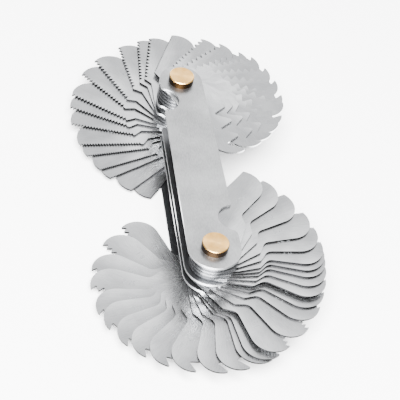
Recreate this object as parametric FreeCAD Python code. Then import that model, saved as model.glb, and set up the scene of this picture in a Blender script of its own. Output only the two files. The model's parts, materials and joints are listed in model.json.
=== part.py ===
"""Combination screw pitch gauge: two fans of toothed leaves on two pins in a case of four plates.

Millimetres, +Z up. The gauge lies flat on its rear cover, and the origin is on that face, midway
between the pins. The metric pin stands at -Y and the inch pin at +Y. Each sub-part is written to
parts/NAME.step.
"""

import FreeCAD, Part
import math
import os

Vec = FreeCAD.Vector
UP = Vec(0, 0, 1)

# --- Case -------------------------------------------------------------------------------------
pin_spacing = 67.1            # between the two pin axes
cover_thickness = 0.8         # front and rear cover
separator_thickness = 0.8     # the two inner plates
inch_knuckle_radius = 6.5     # round end of the plates about the inch pin
metric_knuckle_radius = 7.5   # round end of the plates about the metric pin
notch_radius = 4.8            # finger notches that bare the leaves' eyes
inch_notch_reach = 8.5        # from the inch pin to its notch, along the case
metric_notch_reach = 11.0     # from the metric pin to its notch, along the case
near_lip_radius = 1.8         # rounding where a notch meets the knuckle
far_lip_radius = 0.6          # rounding where a notch meets the long edge

# --- Pins -------------------------------------------------------------------------------------
pin_radius = 2.0
pin_head_radius = 3.8
pin_head_height = 2.2
pin_head_chamfer = 0.2
pin_tail_radius = 3.0         # tail spread flush into the rear cover's countersink
running_clearance = 0.05      # radial, between a pin and every hole on it

# --- Leaves -----------------------------------------------------------------------------------
leaf_thickness = 0.55
leaf_gap = 0.07               # free play over each leaf
eye_radius = 6.35             # round end of a leaf about its pin
leaf_reach = 32.4             # pin axis to blade tip
edge_lean = 19.2              # degrees, toothed edge against the line from pin to tip
toothed_length = 19.4         # blade tip to heel
blade_width = 9.1
nose_radius = 6.1             # round of the blade's end, from the tip to the back edge
back_length = 14.9            # blade tip to waist, along the toothed edge's direction
waist_radius = 2.4            # hollow between the back edge and the shank
heel_step_length = 3.0        # slanted step from the heel down to the shank
heel_step_angle = 34.0        # degrees, against the line from pin to tip
heel_step_radius = 0.5
shank_reach = 13.6            # pin axis to the shank's back corner
shank_angle = 27.0            # degrees, the shank's back corner behind the line from pin to tip
shank_corner_radius = 1.2

# --- Teeth ------------------------------------------------------------------------------------
flank_angle = 30.0            # degrees, half of the thread angle
flat_share = 0.125            # crest and root flats, as a share of the pitch
finest_flat_pitch = 1.3       # finer teeth are plain V shapes
inch = 25.4

# One (threads per inch, resting direction in degrees) for each leaf, from the front cover down.
# Directions are counter-clockwise from +X, seen from the front.
inch_leaves = (
    ((4, 298), (4.5, 311), (5, 321), (6, 331), (7, 339), (8, 351), (9, 358), (10, 371), (11.5, 383), (13, 395)),
    ((11, 404), (12, 417), (14, 428), (44, 445)),
    ((16, 458), (18, 465), (19, 477), (20, 495), (22, 508), (24, 525), (26, 534), (28, 546),
     (30, 561), (36, 569), (40, 580), (48, 587), (60, 600), (62, 611)),
)
# One (pitch in millimetres, resting direction in degrees) for each leaf, in the same order.
metric_leaves = (
    ((0.25, 66), (0.3, 55), (0.35, 42), (0.4, 28), (0.45, 18), (0.5, 9), (0.6, 5), (0.7, 1), (0.75, -5), (0.8, -12)),
    ((0.9, -18), (1.0, -27), (1.25, -41), (1.5, -56)),
    ((6.0, -62), (5.5, -66), (5.0, -78), (4.5, -89), (4.0, -104), (3.5, -117), (3.25, -129), (3.0, -140),
     (2.75, -153), (2.5, -164), (2.25, -181), (2.0, -194), (1.8, -213), (1.75, -230)),
)

# --- Places that follow from the sizes --------------------------------------------------------
leaf_pitch = leaf_thickness + leaf_gap
inch_pin = Vec(0, pin_spacing / 2, 0)
metric_pin = Vec(0, -pin_spacing / 2, 0)
compartment_heights = [len(leaves) * leaf_pitch + leaf_gap for leaves in inch_leaves]
rear_cover_base = 0.0
lower_separator_base = cover_thickness + compartment_heights[2]
upper_separator_base = lower_separator_base + separator_thickness + compartment_heights[1]
front_cover_base = upper_separator_base + separator_thickness + compartment_heights[0]
case_top = front_cover_base + cover_thickness
compartment_tops = (front_cover_base, upper_separator_base, lower_separator_base)


def polar(radius, degrees):
    """A point at a radius and direction about the origin, in the plane z = 0."""
    turn = math.radians(degrees)
    return Vec(radius * math.cos(turn), radius * math.sin(turn), 0)


def line(start, end):
    return Part.LineSegment(start, end).toShape()


def arc(start, middle, end):
    return Part.Arc(start, middle, end).toShape()


def plate(edges, holes, base, thickness):
    """A flat plate from its outline's edges, with round holes given as (centre, radius)."""
    outline = Part.Wire(Part.__sortEdges__(edges))
    rims = [Part.Wire(Part.Circle(centre, UP, radius).toShape()) for centre, radius in holes]
    face = Part.Face([outline] + rims, "Part::FaceMakerBullseye")
    solid = face.extrude(UP * thickness)
    solid.translate(UP * base)
    return solid


# --- Case plates ------------------------------------------------------------------------------
def tapered_outline():
    """Edges of a bar with round ends about the two pins, its long edges tangent to both."""
    slope = math.asin((metric_knuckle_radius - inch_knuckle_radius) / pin_spacing)
    right = Vec(math.cos(slope), math.sin(slope), 0)
    left = Vec(-math.cos(slope), math.sin(slope), 0)
    inch_end = inch_pin + Vec(0, inch_knuckle_radius, 0)
    metric_end = metric_pin - Vec(0, metric_knuckle_radius, 0)
    inch_right = inch_pin + right * inch_knuckle_radius
    inch_left = inch_pin + left * inch_knuckle_radius
    metric_right = metric_pin + right * metric_knuckle_radius
    metric_left = metric_pin + left * metric_knuckle_radius
    return [
        line(metric_right, inch_right),
        arc(inch_right, inch_end, inch_left),
        line(inch_left, metric_left),
        arc(metric_left, metric_end, metric_right),
    ]


def notch_lips(solid, centre, pin):
    """The two upright edges where a notch meets the outline, the one nearer its pin first."""
    lips = []
    for edge in solid.Edges:
        middle = edge.CenterOfMass
        off_axis = math.hypot(middle.x - centre.x, middle.y - centre.y)
        upright = abs(edge.tangentAt(edge.FirstParameter).z) > 0.99
        if upright and abs(off_axis - notch_radius) < 0.01:
            lips.append(edge)
    return sorted(lips, key=lambda edge: math.hypot(edge.CenterOfMass.x - pin.x, edge.CenterOfMass.y - pin.y))


def case_plate(base, thickness):
    """One plate of the case, with its two pin holes and its two finger notches."""
    hole_radius = pin_radius + running_clearance
    solid = plate(tapered_outline(), [(inch_pin, hole_radius), (metric_pin, hole_radius)], base, thickness)
    notches = (
        (Vec(-inch_knuckle_radius, inch_pin.y - inch_notch_reach, base), inch_pin),
        (Vec(metric_knuckle_radius, metric_pin.y + metric_notch_reach, base), metric_pin),
    )
    for centre, pin in notches:
        solid = solid.cut(Part.makeCylinder(notch_radius, thickness, centre, UP))
        near_lip = notch_lips(solid, centre, pin)[0]
        solid = solid.makeFillet(near_lip_radius, [near_lip])
        far_lip = notch_lips(solid, centre, pin)[-1]
        solid = solid.makeFillet(far_lip_radius, [far_lip])
    return solid


def rear_cover():
    """The rear cover, countersunk from below for the two pin tails."""
    solid = case_plate(rear_cover_base, cover_thickness)
    for pin in (inch_pin, metric_pin):
        countersink = Part.makeCone(
            pin_tail_radius + running_clearance, pin_radius + running_clearance, cover_thickness, pin, UP
        )
        solid = solid.cut(countersink)
    return solid


def pin_rivet(pin):
    """A turned pin: chamfered flat head on the front cover, shank, and tail flush with the rear face."""
    top = case_top + pin_head_height
    profile = [
        Vec(0, 0, 0),
        Vec(pin_tail_radius, 0, 0),
        Vec(pin_radius, 0, cover_thickness),
        Vec(pin_radius, 0, case_top),
        Vec(pin_head_radius, 0, case_top),
        Vec(pin_head_radius, 0, top - pin_head_chamfer),
        Vec(pin_head_radius - pin_head_chamfer, 0, top),
        Vec(0, 0, top),
        Vec(0, 0, 0),
    ]
    solid = Part.Face(Part.makePolygon(profile)).revolve(Vec(0, 0, 0), UP, 360)
    solid.translate(pin)
    return solid


# --- Leaves -----------------------------------------------------------------------------------
def tooth_points(pitch):
    """The toothed edge as (distance from the tip, depth into the blade), from tip to heel."""
    flat = flat_share * pitch if pitch >= finest_flat_pitch else 0.0
    flank = pitch / 2 - flat
    depth = flank / math.tan(math.radians(flank_angle))
    points = [(0.0, 0.0)]
    for tooth in range(int(toothed_length / pitch)):
        start = tooth * pitch + flat / 2
        points.append((start, 0.0))
        points.append((start + flank, depth))
        points.append((start + flank + flat, depth))
        points.append((start + 2 * flank + flat, 0.0))
    points.append((toothed_length, 0.0))
    return points


def tangent_from(point, side):
    """Where the line from a point touches the eye, on its left (side 1) or right (side -1)."""
    reach = math.hypot(point.x, point.y)
    direction = math.degrees(math.atan2(point.y, point.x))
    return polar(eye_radius, direction + side * math.degrees(math.acos(eye_radius / reach)))


def rounded_corner(before, corner, after, radius):
    """The arc that rounds a corner, held within half of the shorter side."""
    inward = (before - corner).normalize()
    outward = (after - corner).normalize()
    half_angle = inward.getAngle(outward) / 2
    room = 0.48 * min((before - corner).Length, (after - corner).Length)
    setback = min(radius / math.tan(half_angle), room)
    fitted = setback * math.tan(half_angle)
    bisector = (inward + outward).normalize()
    middle = corner + bisector * (fitted / math.sin(half_angle) - fitted)
    return arc(corner + inward * setback, middle, corner + outward * setback)


def leaf_outline(pitch):
    """Edges of a leaf about its pin at the origin, its blade tip on +X and its teeth on +Y."""
    tip = Vec(leaf_reach, 0, 0)
    to_heel = polar(1, 180 - edge_lean)
    to_back = polar(1, 270 - edge_lean)

    def on_blade(along, depth):
        return tip + to_heel * along + to_back * depth

    edge_points = []
    for along, depth in tooth_points(pitch):
        point = on_blade(along, depth)
        if not edge_points or (point - edge_points[-1]).Length > 1e-6:
            edge_points.append(point)
    heel = edge_points[-1]
    heel_step = heel - polar(heel_step_length, heel_step_angle)
    shank_corner = polar(shank_reach, -shank_angle)
    eye_left = tangent_from(heel_step, 1)
    eye_right = tangent_from(shank_corner, -1)

    nose_depth = blade_width - nose_radius
    nose_along = math.sqrt(nose_radius ** 2 - nose_depth ** 2)
    nose_end = on_blade(nose_along, blade_width)
    nose_turn = math.atan2(-nose_depth, -nose_along)
    nose_middle_turn = (nose_turn - 1.5 * math.pi) / 2
    nose_middle = on_blade(
        nose_along + nose_radius * math.cos(nose_middle_turn),
        nose_depth + nose_radius * math.sin(nose_middle_turn),
    )
    waist = on_blade(back_length, blade_width)

    heel_round = rounded_corner(heel, heel_step, eye_left, heel_step_radius)
    shank_round = rounded_corner(eye_right, shank_corner, waist, shank_corner_radius)
    waist_round = rounded_corner(shank_corner, waist, nose_end, waist_radius)

    edges = [line(a, b) for a, b in zip(edge_points, edge_points[1:])]
    edges.append(arc(tip, nose_middle, nose_end))
    edges.append(line(nose_end, waist_round.Vertexes[-1].Point))
    edges.append(waist_round)
    edges.append(line(waist_round.Vertexes[0].Point, shank_round.Vertexes[-1].Point))
    edges.append(shank_round)
    edges.append(line(shank_round.Vertexes[0].Point, eye_right))
    edges.append(arc(eye_right, Vec(-eye_radius, 0, 0), eye_left))
    edges.append(line(eye_left, heel_round.Vertexes[-1].Point))
    edges.append(heel_round)
    edges.append(line(heel_round.Vertexes[0].Point, heel))
    return edges


def leaf(pin, pitch, direction, base):
    """One leaf on its pin, turned to its resting direction."""
    hole = (Vec(0, 0, 0), pin_radius + running_clearance)
    solid = plate(leaf_outline(pitch), [hole], base, leaf_thickness)
    solid.rotate(Vec(0, 0, 0), UP, direction)
    solid.translate(pin)
    return solid


def fan(name, pin, compartments):
    """All leaves of one pin by node name, numbered from the front cover down."""
    leaves = {}
    for top, compartment in zip(compartment_tops, compartments):
        for row, (pitch, direction) in enumerate(compartment):
            base = top - (row + 1) * leaf_pitch
            leaves[f"{name}_leaf_{len(leaves) + 1:02d}"] = leaf(pin, pitch, direction, base)
    return leaves


def gauge():
    """Every sub-part of the gauge by node name."""
    inch_pitches = [[(inch / threads, direction) for threads, direction in group] for group in inch_leaves]
    upper_separator = case_plate(upper_separator_base, separator_thickness)
    lower_separator = case_plate(lower_separator_base, separator_thickness)
    parts = {
        "front_cover": case_plate(front_cover_base, cover_thickness),
        "separators": Part.makeCompound([upper_separator, lower_separator]),
        "rear_cover": rear_cover(),
        "pins": Part.makeCompound([pin_rivet(inch_pin), pin_rivet(metric_pin)]),
    }
    parts.update(fan("inch", inch_pin, inch_pitches))
    parts.update(fan("metric", metric_pin, metric_leaves))
    return parts


os.makedirs("parts", exist_ok=True)
for node, shape in gauge().items():
    shape.exportStep(f"parts/{node}.step")
    print(node, "valid" if shape.isValid() else "INVALID", round(shape.Volume, 3))
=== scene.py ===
"""Studio scene of a combination screw pitch gauge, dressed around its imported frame.

Lengths in the classes below are in millimetres and are turned to metres by MM where a mesh is made.
"""

import json
import logging
import math
from dataclasses import dataclass
from enum import Enum

import bmesh
import bpy
from mathutils import Matrix, Vector


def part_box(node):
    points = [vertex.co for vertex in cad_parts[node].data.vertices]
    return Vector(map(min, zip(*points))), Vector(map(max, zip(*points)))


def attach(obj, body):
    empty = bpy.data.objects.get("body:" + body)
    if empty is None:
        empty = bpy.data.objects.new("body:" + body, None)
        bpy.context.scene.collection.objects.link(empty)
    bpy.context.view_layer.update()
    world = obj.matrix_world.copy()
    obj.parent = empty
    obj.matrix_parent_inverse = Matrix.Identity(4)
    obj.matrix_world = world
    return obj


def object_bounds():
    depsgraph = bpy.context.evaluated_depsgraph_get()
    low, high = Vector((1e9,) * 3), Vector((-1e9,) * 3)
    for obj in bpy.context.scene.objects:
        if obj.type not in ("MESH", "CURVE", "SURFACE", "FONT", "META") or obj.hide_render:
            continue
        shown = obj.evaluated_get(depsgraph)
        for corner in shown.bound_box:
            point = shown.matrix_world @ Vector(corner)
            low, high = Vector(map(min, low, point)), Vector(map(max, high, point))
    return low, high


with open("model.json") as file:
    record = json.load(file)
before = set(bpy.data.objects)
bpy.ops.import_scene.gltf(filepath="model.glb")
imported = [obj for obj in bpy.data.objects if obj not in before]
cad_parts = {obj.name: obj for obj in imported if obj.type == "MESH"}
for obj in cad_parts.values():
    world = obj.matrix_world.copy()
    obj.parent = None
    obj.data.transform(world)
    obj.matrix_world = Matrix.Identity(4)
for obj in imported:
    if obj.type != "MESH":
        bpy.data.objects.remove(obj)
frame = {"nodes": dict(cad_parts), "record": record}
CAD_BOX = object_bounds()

MM = 0.001
LEVEL = 0.5     # vertical share of a face's normal past which the face counts as level
LOG = logging.getLogger("pitch_gauge")


class Series(Enum):
    """The two fans of leaves, by the name that their nodes start with."""

    INCH = "inch"
    METRIC = "metric"


# --- Frame ------------------------------------------------------------------------------------
def node_names(prefix: str) -> list[str]:
    """CAD nodes whose name starts with a prefix, in order.

    Args:
        prefix: The start of the names.

    Returns:
        The sorted node names.
    """
    return sorted(name for name in frame["nodes"] if name.startswith(prefix))


def joint_of(body: str) -> dict:
    """The joint that carries a body.

    Args:
        body: A body's name.

    Returns:
        The joint as the record states it.
    """
    joints = frame["record"]["behaviour"]["joints"]
    return next(joint for joint in joints if joint["child"] == body)


def farthest_direction(node: str, pin: Vector) -> float:
    """Direction from a pin to the part of a leaf that is farthest from it.

    Args:
        node: The leaf's node.
        pin: A point on the pin's axis, in metres.

    Returns:
        The direction in radians, counter-clockwise from +X.
    """
    vertices = frame["nodes"][node].data.vertices
    far = max(vertices, key=lambda v: (v.co.x - pin.x) ** 2 + (v.co.y - pin.y) ** 2).co
    return math.atan2(far.y - pin.y, far.x - pin.x)


def turn_between(start: float, end: float) -> float:
    """Shortest turn from one direction to another.

    Args:
        start: First direction in radians.
        end: Second direction in radians.

    Returns:
        The turn, between minus pi and pi.
    """
    return (end - start + math.pi) % (2 * math.pi) - math.pi


# --- Materials --------------------------------------------------------------------------------
def linear(hex_colour: str) -> tuple[float, float, float, float]:
    """Turns an sRGB hex value into a linear colour.

    Args:
        hex_colour: Six hex digits after a hash sign.

    Returns:
        Linear red, green, blue and an alpha of 1.
    """
    channels = [int(hex_colour[i:i + 2], 16) / 255 for i in (1, 3, 5)]
    curve = [c / 12.92 if c <= 0.04045 else ((c + 0.055) / 1.055) ** 2.4 for c in channels]
    return (*curve, 1.0)


def add_node(
    material: bpy.types.Material,
    kind: str,
    settings: dict | None = None,
    inputs: dict | None = None,
) -> bpy.types.Node:
    """Adds a shader node with its settings and its inputs.

    Args:
        material: The material that gets the node.
        kind: The node's type name, such as ShaderNodeTexNoise.
        settings: Attributes of the node by name.
        inputs: Values or output sockets for the inputs, by name or number.

    Returns:
        The new node.
    """
    node = material.node_tree.nodes.new(kind)
    for name, value in (settings or {}).items():
        setattr(node, name, value)
    for name, value in (inputs or {}).items():
        if isinstance(value, bpy.types.NodeSocket):
            material.node_tree.links.new(value, node.inputs[name])
        else:
            node.inputs[name].default_value = value
    return node


def new_material(name: str) -> bpy.types.Material:
    """Makes an empty material that uses nodes.

    Args:
        name: The material's name.

    Returns:
        The material, without any node.
    """
    material = bpy.data.materials.new(name)
    material.use_nodes = True
    material.node_tree.nodes.clear()
    return material


def colour_ramp(node: bpy.types.Node, low: str, high: str, start: float, end: float) -> None:
    """Sets a colour ramp's two stops.

    Args:
        node: The ramp node.
        low: Colour of the first stop as a hex value.
        high: Colour of the last stop as a hex value.
        start: Place of the first stop.
        end: Place of the last stop.
    """
    stops = node.color_ramp.elements
    stops[0].position = start
    stops[0].color = linear(low)
    stops[1].position = end
    stops[1].color = linear(high)


def vertical_share(material: bpy.types.Material) -> bpy.types.NodeSocket:
    """How far each face looks up: 1 for a level top, 0 for an upright face, -1 for an underside.

    Args:
        material: The material.

    Returns:
        The share.
    """
    geometry = add_node(material, "ShaderNodeNewGeometry")
    parts = add_node(material, "ShaderNodeSeparateXYZ", {}, {"Vector": geometry.outputs["True Normal"]})
    return parts.outputs["Z"]


def upright_mask(
    material: bpy.types.Material, share: bpy.types.NodeSocket
) -> bpy.types.NodeSocket:
    """Mask of the faces that stand upright.

    Args:
        material: The material.
        share: The vertical share of each face's normal.

    Returns:
        The mask.
    """
    size = add_node(material, "ShaderNodeMath", {"operation": "ABSOLUTE"}, {0: share})
    upright = add_node(material, "ShaderNodeMath", {"operation": "LESS_THAN"}, {
        0: size.outputs["Value"], 1: LEVEL,
    })
    return upright.outputs["Value"]


def arm_from(
    material: bpy.types.Material, place: bpy.types.NodeSocket, axis: tuple[float, float]
) -> tuple[bpy.types.NodeSocket, bpy.types.NodeSocket]:
    """Level arm from an upright axis to each point.

    Args:
        material: The material.
        place: Object coordinates.
        axis: Where the axis stands, in metres.

    Returns:
        The arm, and its length.
    """
    centred = add_node(material, "ShaderNodeVectorMath", {"operation": "SUBTRACT"}, {
        0: place, 1: (*axis, 0.0),
    })
    arm = add_node(material, "ShaderNodeVectorMath", {"operation": "MULTIPLY"}, {
        0: centred.outputs["Vector"], 1: (1.0, 1.0, 0.0),
    })
    length = add_node(material, "ShaderNodeVectorMath", {"operation": "LENGTH"}, {
        0: arm.outputs["Vector"],
    })
    return arm.outputs["Vector"], length.outputs["Value"]


def toned(
    material: bpy.types.Material,
    where: bpy.types.NodeSocket,
    surface: bpy.types.NodeSocket,
    tone: str,
) -> bpy.types.NodeSocket:
    """Changes the surface's colour where a mask is 1.

    Args:
        material: The material.
        where: The mask.
        surface: The colour so far.
        tone: The colour under the mask, as a hex value.

    Returns:
        The new colour.
    """
    mix = add_node(material, "ShaderNodeMix", {"data_type": "RGBA"}, {
        0: where, 6: surface, 7: linear(tone),
    })
    return mix.outputs[2]


@dataclass(frozen=True)
class LeafPlace:
    """Where a leaf lies round its pin, as angles in radians from +X."""

    pin: tuple[float, float]
    open_side: float        # edge of the blade that lies open
    covered: float      # where the leaf above starts
    eye_edge: str       # painted tone of the eye's rim, lighter than the near-black painted shade on the other edges


@dataclass(frozen=True)
class GroundSteel:
    """Hardened strip steel, surface ground: even satin sheen with fine parallel grinding lines."""

    name: str
    dark: str = "#A6A7A9"
    light: str = "#CDCECF"
    tint_span: tuple[float, float] = (0.35, 0.65)
    edge: str = "#0E0E0F"           # near black: painted shade for the dark gaps between the leaves
    inner: str = "#5C5D5F"          # painted shade on the inner faces of the case
    inner_up: bool = False          # the upward face is an inner face
    inner_down: bool = False        # the downward face is an inner face
    roughness: float = 0.28
    roughness_spread: float = 0.07
    grain_mm: float = 0.25          # real lines are near 0.03 mm, drawn coarser so that they show
    grain_length_mm: float = 2.5
    grain_share: float = 0.4        # the rest of the tint comes from the clouds
    grain_octaves: float = 3.0
    grain_fineness: float = 0.6
    cloud_mm: float = 9.0
    cloud_octaves: float = 2.0
    bump_mm: float = 0.004
    bump_strength: float = 0.2
    direction: float = 0.0
    centre: tuple[float, float] = (0.0, 0.0)
    leaf: LeafPlace | None = None
    painted_shade: str = "#6E6F71"           # painted shade: darker towards the leaf above at rest
    painted_shade_share: float = 0.6
    eye_rim_mm: float = 7.4

    def build(self) -> bpy.types.Material:
        """Makes the material, its lines along the piece's own direction.

        Returns:
            The material.
        """
        material = new_material(self.name)
        place = add_node(material, "ShaderNodeTexCoord").outputs["Object"]
        turned = add_node(material, "ShaderNodeMapping", {"vector_type": "TEXTURE"}, {
            "Vector": place, "Location": (*self.centre, 0.0), "Rotation": (0.0, 0.0, self.direction),
        })
        stretched = add_node(material, "ShaderNodeMapping", {}, {
            "Vector": turned.outputs["Vector"],
            "Scale": (
                1 / (self.grain_length_mm * MM),
                1 / (self.grain_mm * MM),
                1 / (self.grain_length_mm * MM),
            ),
        })
        grain = add_node(material, "ShaderNodeTexNoise", {}, {
            "Vector": stretched.outputs["Vector"],
            "Scale": 1.0,
            "Detail": self.grain_octaves,
            "Roughness": self.grain_fineness,
        })
        clouds = add_node(material, "ShaderNodeTexNoise", {}, {
            "Vector": turned.outputs["Vector"],
            "Scale": 1 / (self.cloud_mm * MM),
            "Detail": self.cloud_octaves,
        })
        blend = add_node(material, "ShaderNodeMix", {"data_type": "FLOAT"}, {
            "Factor": self.grain_share, "A": clouds.outputs["Fac"], "B": grain.outputs["Fac"],
        })
        tint = add_node(material, "ShaderNodeValToRGB", {}, {"Fac": blend.outputs["Result"]})
        colour_ramp(tint, self.dark, self.light, *self.tint_span)
        rough = add_node(material, "ShaderNodeMapRange", {}, {
            "Value": grain.outputs["Fac"],
            "To Min": self.roughness - self.roughness_spread,
            "To Max": self.roughness + self.roughness_spread,
        })
        bump = add_node(material, "ShaderNodeBump", {}, {
            "Height": grain.outputs["Fac"],
            "Strength": self.bump_strength,
            "Distance": self.bump_mm * MM,
        })
        shader = add_node(material, "ShaderNodeBsdfPrincipled", {}, {
            "Base Color": self.by_face(material, place, tint.outputs["Color"]),
            "Roughness": rough.outputs["Result"],
            "Normal": bump.outputs["Normal"],
            "Metallic": 1.0,
        })
        add_node(material, "ShaderNodeOutputMaterial", {}, {"Surface": shader.outputs["BSDF"]})
        return material

    def by_face(
        self,
        material: bpy.types.Material,
        place: bpy.types.NodeSocket,
        surface: bpy.types.NodeSocket,
    ) -> bpy.types.NodeSocket:
        """Paints shade and light by how each face lies: painted shade on inner faces and beside the leaf
        above, the painted tone of upright edges, and painted tones on the eye rims.

        Args:
            material: The material.
            place: Object coordinates.
            surface: The ground face's colour.

        Returns:
            The colour of every face.
        """
        share = vertical_share(material)
        inner_faces = []
        if self.inner_up:
            inner_faces.append(("GREATER_THAN", LEVEL))
        if self.inner_down:
            inner_faces.append(("LESS_THAN", -LEVEL))
        for operation, limit in inner_faces:
            mask = add_node(material, "ShaderNodeMath", {"operation": operation}, {0: share, 1: limit})
            # painted shade on the inner faces
            surface = toned(material, mask.outputs["Value"], surface, self.inner)
        if self.leaf:
            # painted shade beside the leaf above, which stays with the leaf when it turns
            painted_shade = self.painted_shade_spread(material, place, self.leaf)
            surface = toned(material, painted_shade, surface, self.painted_shade)
        upright = upright_mask(material, share)
        # painted tone on every upright face: painted shade on the leaves' edges, painted highlight on the
        # plates' edges
        surface = toned(material, upright, surface, self.edge)
        if self.leaf:
            # painted tones on the eye rims, every second one darker as painted shade between the eyes
            rim = self.eye_rim(material, place, self.leaf, upright)
            surface = toned(material, rim, surface, self.leaf.eye_edge)
        return surface

    def painted_shade_spread(
        self, material: bpy.types.Material, place: bpy.types.NodeSocket, leaf: LeafPlace
    ) -> bpy.types.NodeSocket:
        """Share of the painted shade over a leaf, strongest beside the leaf above at rest and gone at its
        open side.

        Args:
            material: The material.
            place: Object coordinates.
            leaf: Where the leaf lies.

        Returns:
            The share.
        """
        turned = add_node(material, "ShaderNodeMapping", {"vector_type": "TEXTURE"}, {
            "Vector": place, "Location": (*leaf.pin, 0.0), "Rotation": (0.0, 0.0, leaf.covered),
        })
        flat = add_node(material, "ShaderNodeSeparateXYZ", {}, {"Vector": turned.outputs["Vector"]})
        angle = add_node(material, "ShaderNodeMath", {"operation": "ARCTAN2"}, {
            0: flat.outputs["Y"], 1: flat.outputs["X"],
        })
        share = add_node(material, "ShaderNodeMapRange", {}, {
            "Value": angle.outputs["Value"],
            "From Min": 0.0,
            "From Max": leaf.open_side - leaf.covered,
            "To Min": self.painted_shade_share,
            "To Max": 0.0,
        })
        return share.outputs["Result"]

    def eye_rim(
        self,
        material: bpy.types.Material,
        place: bpy.types.NodeSocket,
        leaf: LeafPlace,
        upright: bpy.types.NodeSocket,
    ) -> bpy.types.NodeSocket:
        """Mask of the upright rim of a leaf's eye.

        Args:
            material: The material.
            place: Object coordinates.
            leaf: Where the leaf lies.
            upright: Mask of every upright face.

        Returns:
            The mask.
        """
        distance = arm_from(material, place, leaf.pin)[1]
        near = add_node(material, "ShaderNodeMath", {"operation": "LESS_THAN"}, {
            0: distance, 1: self.eye_rim_mm * MM,
        })
        both = add_node(material, "ShaderNodeMath", {"operation": "MULTIPLY"}, {
            0: near.outputs["Value"], 1: upright,
        })
        return both.outputs["Value"]


@dataclass(frozen=True)
class TurnedBrass:
    """Free-cutting brass, turned on a lathe: fine rings about each pin under a soft polish."""

    name: str = "turned_brass"
    dark: str = "#D3A052"
    light: str = "#E8BA72"
    tint_span: tuple[float, float] = (0.3, 0.6)
    side: str = "#281A0A"       # dark brown: painted shade on the upright sides of the heads
    roughness: float = 0.28
    anisotropy: float = 0.75    # the rings spread the light across them
    ring_mm: float = 0.22       # real feed marks are near 0.05 mm, drawn coarser so that they show
    cloud_mm: float = 2.5
    cloud_octaves: float = 3.0
    bump_mm: float = 0.004
    bump_strength: float = 0.4
    pins: tuple[tuple[float, float], ...] = ()

    def build(self) -> bpy.types.Material:
        """Makes the material, with rings centred on the nearer of the two pins.

        Returns:
            The material.
        """
        material = new_material(self.name)
        place = add_node(material, "ShaderNodeTexCoord").outputs["Object"]
        arms, distances = zip(*(arm_from(material, place, pin) for pin in self.pins))
        nearest = add_node(material, "ShaderNodeMath", {"operation": "MINIMUM"}, {
            0: distances[0], 1: distances[1],
        })
        first = add_node(material, "ShaderNodeMath", {"operation": "LESS_THAN"}, {
            0: distances[0], 1: distances[1],
        })
        arm = add_node(material, "ShaderNodeMix", {"data_type": "VECTOR"}, {
            0: first.outputs["Value"], 4: arms[1], 5: arms[0],
        })
        around = add_node(material, "ShaderNodeVectorMath", {"operation": "CROSS_PRODUCT"}, {
            0: (0.0, 0.0, 1.0), 1: arm.outputs[1],
        })
        turns = add_node(material, "ShaderNodeMath", {"operation": "MULTIPLY"}, {
            0: nearest.outputs["Value"], 1: 2 * math.pi / (self.ring_mm * MM),
        })
        rings = add_node(material, "ShaderNodeMath", {"operation": "SINE"}, {
            0: turns.outputs["Value"],
        })
        clouds = add_node(material, "ShaderNodeTexNoise", {}, {
            "Vector": place, "Scale": 1 / (self.cloud_mm * MM), "Detail": self.cloud_octaves,
        })
        tint = add_node(material, "ShaderNodeValToRGB", {}, {"Fac": clouds.outputs["Fac"]})
        colour_ramp(tint, self.dark, self.light, *self.tint_span)
        upright = upright_mask(material, vertical_share(material))
        # painted shade on the upright sides of the heads
        surface = toned(material, upright, tint.outputs["Color"], self.side)
        bump = add_node(material, "ShaderNodeBump", {}, {
            "Height": rings.outputs["Value"],
            "Strength": self.bump_strength,
            "Distance": self.bump_mm * MM,
        })
        shader = add_node(material, "ShaderNodeBsdfPrincipled", {}, {
            "Base Color": surface,
            "Normal": bump.outputs["Normal"],
            "Tangent": around.outputs["Vector"],
            "Roughness": self.roughness,
            "Anisotropic": self.anisotropy,
            "Metallic": 1.0,
        })
        add_node(material, "ShaderNodeOutputMaterial", {}, {"Surface": shader.outputs["BSDF"]})
        return material


@dataclass(frozen=True)
class StampedInk:
    """Bruised steel at the foot of stamped figures: darker and rougher than the ground face."""

    name: str
    dark: str = "#7C7E80"
    light: str = "#A2A4A6"
    tint_span: tuple[float, float] = (0.35, 0.65)
    roughness: float = 0.55
    speck_mm: float = 0.3
    speck_octaves: float = 2.0

    def build(self) -> bpy.types.Material:
        """Makes the material.

        Returns:
            The material.
        """
        material = new_material(self.name)
        place = add_node(material, "ShaderNodeTexCoord")
        specks = add_node(material, "ShaderNodeTexNoise", {}, {
            "Vector": place.outputs["Object"],
            "Scale": 1 / (self.speck_mm * MM),
            "Detail": self.speck_octaves,
        })
        tint = add_node(material, "ShaderNodeValToRGB", {}, {"Fac": specks.outputs["Fac"]})
        colour_ramp(tint, self.dark, self.light, *self.tint_span)
        shader = add_node(material, "ShaderNodeBsdfPrincipled", {}, {
            "Base Color": tint.outputs["Color"],
            "Roughness": self.roughness,
            "Metallic": 1.0,
        })
        add_node(material, "ShaderNodeOutputMaterial", {}, {"Surface": shader.outputs["BSDF"]})
        return material


@dataclass(frozen=True)
class PaperFloor:
    """Seamless white background paper: matt, with no visible grain at this distance."""

    name: str = "background_paper"
    colour: str = "#F7F7F7"
    roughness: float = 0.9
    specular: float = 0.1

    def build(self) -> bpy.types.Material:
        """Makes the material.

        Returns:
            The material.
        """
        material = new_material(self.name)
        shader = add_node(material, "ShaderNodeBsdfPrincipled", {}, {
            "Base Color": linear(self.colour),
            "Roughness": self.roughness,
            "Specular IOR Level": self.specular,
        })
        add_node(material, "ShaderNodeOutputMaterial", {}, {"Surface": shader.outputs["BSDF"]})
        return material


def dress(piece: bpy.types.Object, material: bpy.types.Material) -> None:
    """Puts one material on a whole object.

    Args:
        piece: A CAD node or a piece.
        material: Its finish.
    """
    if not piece.material_slots:
        piece.data.materials.append(material)
    for slot in piece.material_slots:
        slot.material = material


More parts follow.
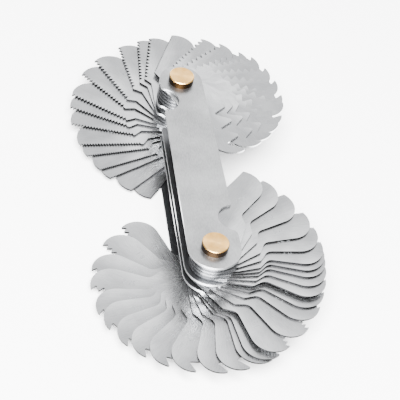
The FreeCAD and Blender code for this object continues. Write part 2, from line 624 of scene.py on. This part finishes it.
# --- Case -------------------------------------------------------------------------------------
@dataclass
class Case:
    """The four case plates and the two pins."""

    plate_nodes: tuple[str, ...] = ("front_cover", "separators", "rear_cover")
    pin_node: str = "pins"

    def pin_centres(self) -> tuple[tuple[float, float], ...]:
        """Where the two pins stand.

        Returns:
            The pins' places in metres, the inch pin first.
        """
        places = []
        for series in Series:
            joint = joint_of(node_names(f"{series.value}_leaf")[0])
            places.append((joint["pos_m"][0], joint["pos_m"][1]))
        return tuple(places)

    def dress(self) -> None:
        """Finishes the plates in steel ground along the case, and the pins in turned brass."""
        for node in self.plate_nodes:
            steel = GroundSteel(
                name=f"{node}_steel",
                dark="#8A8B8C",
                light="#B2B3B4",
                # bright: painted highlight on the plates' edges
                edge="#C9CACB",
                # the inner faces get the painted shade
                inner_up=node != "front_cover",
                inner_down=node != "rear_cover",
                roughness=0.32,
                grain_mm=0.3,
                grain_length_mm=1.0,
                cloud_mm=12.0,
                direction=math.pi / 2,
            )
            dress(frame["nodes"][node], steel.build())
            LOG.info("dressed %s", node)
        dress(frame["nodes"][self.pin_node], TurnedBrass(pins=self.pin_centres()).build())
        LOG.info("dressed %s", self.pin_node)


# --- Leaves -----------------------------------------------------------------------------------
@dataclass
class Fan:
    """The leaves of one pin, with the pitch stamped on each."""

    series: Series
    figures: tuple[str, ...]
    bright_edges: int = 0           # leaves from the front cover down whose edges get painted light in place of painted shade
    # painted light on those leaves' edges, so the slots between their teeth look less dark
    painted_light_edge: str = "#ECEDEE"
    eye_edges: tuple[str, str] = ("#6C6D6F", "#434446")     # in turn: the darker one is painted shade between the stacked eyes
    figure_height: float = 2.3
    figure_depth: float = 0.012
    figure_reach: float = 21.5      # pin axis to the middle of the figures
    figure_side: float = -1.2       # middle of the figures beside the line to the nose
    figure_steps: int = 2           # straight steps in each curve of the figures
    grain_shift: float = 7.0        # moves the grain on from leaf to leaf, so that no two match
    blade_lean: float = math.radians(17.0)
    blade_start: float = 20.0       # pin axis to where the blade is at its full width
    widest_step: float = math.radians(40.0)     # turn between neighbours in one compartment

    def nodes(self) -> list[str]:
        """The leaves' nodes from the front cover down."""
        return node_names(f"{self.series.value}_leaf")

    def pin_of(self, node: str) -> Vector:
        """A point on the axis that a leaf turns about, in metres."""
        return Vector(joint_of(node)["pos_m"])

    def dress(self) -> None:
        """Finishes every leaf in ground steel, and stamps its figures."""
        ink = StampedInk(name=f"{self.series.value}_figures").build()
        nodes = self.nodes()
        directions = [farthest_direction(node, self.pin_of(node)) for node in nodes]
        for number, (node, text) in enumerate(zip(nodes, self.figures)):
            pin = self.pin_of(node)
            steel = GroundSteel(
                name=f"{node}_steel",
                leaf=self.place(number, node, directions),
                # painted light on the first leaves' edges, painted shade on the rest
                edge=self.painted_light_edge if number < self.bright_edges else GroundSteel.edge,
                direction=directions[number] - self.blade_lean,
                centre=(pin.x + number * self.grain_shift * MM, pin.y),
            )
            dress(frame["nodes"][node], steel.build())
            self.stamp(node, text, directions[number], ink)
        LOG.info("dressed %d %s leaves", len(nodes), self.series.value)

    def place(self, number: int, node: str, directions: list[float]) -> LeafPlace:
        """Works out which side of a leaf lies open.

        Args:
            number: The leaf's number, from 0 at the front cover.
            node: The leaf's node.
            directions: Directions of all the fan's leaves, in radians.

        Returns:
            The leaf's place.
        """
        pin = self.pin_of(node)
        middle = directions[number]
        steps = [
            turn_between(directions[upper], directions[upper + 1])
            for upper in (number - 1, number)
            if 0 <= upper < len(directions) - 1
        ]
        step = next((turn for turn in steps if abs(turn) < self.widest_step), self.widest_step)
        turns = []
        for vertex in frame["nodes"][node].data.vertices:
            spot = vertex.co
            if (spot.xy - pin.xy).length > self.blade_start * MM:
                turns.append(turn_between(middle, math.atan2(spot.y - pin.y, spot.x - pin.x)))
        open_side = middle + (max(turns) if step > 0 else min(turns))
        return LeafPlace((pin.x, pin.y), open_side, open_side - step, self.eye_edges[number % 2])

    def stamp(self, node: str, text: str, direction: float, ink: bpy.types.Material) -> None:
        """Lays a leaf's figures on its upper face.

        Args:
            node: The leaf's node.
            text: The figures.
            direction: Direction from the pin to the leaf's nose, in radians.
            ink: The figures' finish.
        """
        curve = bpy.data.curves.new(f"{node}_text", "FONT")
        curve.body = text
        curve.size = self.figure_height * MM
        curve.extrude = self.figure_depth * MM / 2
        curve.align_x = "CENTER"
        curve.align_y = "CENTER"
        curve.resolution_u = self.figure_steps
        source = bpy.data.objects.new(f"{node}_text", curve)
        mesh = bpy.data.meshes.new_from_object(source)
        bpy.data.objects.remove(source)
        pin = self.pin_of(node)
        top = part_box(node)[1][2]
        along = Matrix.Rotation(direction, 4, "Z")
        lean = Matrix.Rotation(-self.blade_lean + math.pi, 4, "Z")
        offset = Vector((self.figure_reach * MM, self.figure_side * MM, 0.0))
        base = Vector((pin.x, pin.y, top + self.figure_depth * MM / 2))
        mesh.transform(Matrix.Translation(base) @ along @ Matrix.Translation(offset) @ lean)
        piece = bpy.data.objects.new(f"{node}_figures", mesh)
        bpy.context.scene.collection.objects.link(piece)
        mesh.materials.clear()
        mesh.materials.append(ink)
        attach(piece, node)


# --- Studio -----------------------------------------------------------------------------------
@dataclass(frozen=True)
class Softbox:
    """A square area light that points at the gauge."""

    name: str
    place: tuple[float, float, float]
    side: float
    watts: float

    def build(self) -> None:
        """Hangs the light."""
        light = bpy.data.lights.new(self.name, "AREA")
        light.size = self.side * MM
        light.energy = self.watts
        lamp = bpy.data.objects.new(self.name, light)
        lamp.location = Vector(self.place) * MM
        lamp.rotation_euler = (-Vector(self.place)).to_track_quat("-Z", "Y").to_euler()
        bpy.context.scene.collection.objects.link(lamp)


@dataclass
class Studio:
    """White floor, soft light from all round, and a camera above the metric pin's side."""

    aim: tuple[float, float, float] = (-1.5, -15.9, 20.8)
    distance: float = 407.3
    azimuth: float = 17.65     # degrees, clockwise from +Y seen from above
    elevation: float = 46.05
    roll: float = 12.55
    lens: float = 130.1
    sensor: float = 36.0
    nearest: float = 10.0       # nearest that the camera sees
    floor_size: float = 3000.0
    floor_gap: float = 0.02     # keeps the floor from flickering through the rear cover
    sky_colour: str = "#F4F6F8"
    sky_strength: float = 0.5
    softboxes: tuple[Softbox, ...] = (
        Softbox("back", (147.0, 463.0, 503.0), 600.0, 3.3),
        Softbox("front", (-150.0, -450.0, 800.0), 600.0, 105.0),
    )

    def floor(self) -> None:
        """Makes the floor that the gauge lies on."""
        mesh = bpy.data.meshes.new("floor")
        shape = bmesh.new()
        bmesh.ops.create_grid(shape, x_segments=1, y_segments=1, size=self.floor_size * MM / 2)
        shape.to_mesh(mesh)
        shape.free()
        mesh.materials.append(PaperFloor().build())
        floor = bpy.data.objects.new("floor", mesh)
        floor.location.z = CAD_BOX[0][2] - self.floor_gap * MM
        bpy.context.scene.collection.objects.link(floor)

    def sky(self) -> None:
        """Surrounds the scene with an even, pale studio sky."""
        world = bpy.data.worlds.new("studio")
        world.use_nodes = True
        background = world.node_tree.nodes["Background"]
        background.inputs["Color"].default_value = linear(self.sky_colour)
        background.inputs["Strength"].default_value = self.sky_strength
        bpy.context.scene.world = world

    def camera(self) -> None:
        """Sets up the camera."""
        azimuth, elevation, roll = (math.radians(a) for a in (self.azimuth, self.elevation, self.roll))
        forward = Vector((
            math.sin(azimuth) * math.cos(elevation),
            math.cos(azimuth) * math.cos(elevation),
            -math.sin(elevation),
        ))
        level = Vector((math.cos(azimuth), -math.sin(azimuth), 0.0))
        above = level.cross(forward)
        right = level * math.cos(roll) + above * math.sin(roll)
        up = above * math.cos(roll) - level * math.sin(roll)
        turn = Matrix((right, up, -forward)).transposed().to_4x4()
        data = bpy.data.cameras.new("camera")
        data.lens = self.lens
        data.sensor_width = self.sensor
        data.clip_start = self.nearest * MM
        view = bpy.data.objects.new("camera", data)
        view.matrix_world = Matrix.Translation((Vector(self.aim) - forward * self.distance) * MM) @ turn
        bpy.context.scene.collection.objects.link(view)
        bpy.context.scene.camera = view

    def build(self) -> None:
        """Builds the studio round the gauge."""
        self.camera()
        self.floor()
        self.sky()
        for softbox in self.softboxes:
            softbox.build()
        LOG.info("built the studio")


INCH_FIGURES = (
    "4", "4.5", "5", "6", "7", "8", "9", "10", "11.5", "13", "11", "12", "14", "44",
    "16", "18", "19", "20", "22", "24", "26", "28", "30", "36", "40", "48", "60", "62",
)
METRIC_FIGURES = (
    "0.25", "0.3", "0.35", "0.4", "0.45", "0.5", "0.6", "0.7", "0.75", "0.8", "0.9", "1.0", "1.25", "1.5",
    "6.0", "5.5", "5.0", "4.5", "4.0", "3.5", "3.25", "3.0", "2.75", "2.5", "2.25", "2.0", "1.8", "1.75",
)


def main() -> None:
    """Builds the studio and dresses the gauge."""
    logging.basicConfig(level=logging.INFO, format="%(message)s")
    Studio().build()
    Case().dress()
    Fan(Series.INCH, INCH_FIGURES, bright_edges=13).dress()
    Fan(Series.METRIC, METRIC_FIGURES).dress()


if __name__ == "__main__":
    main()
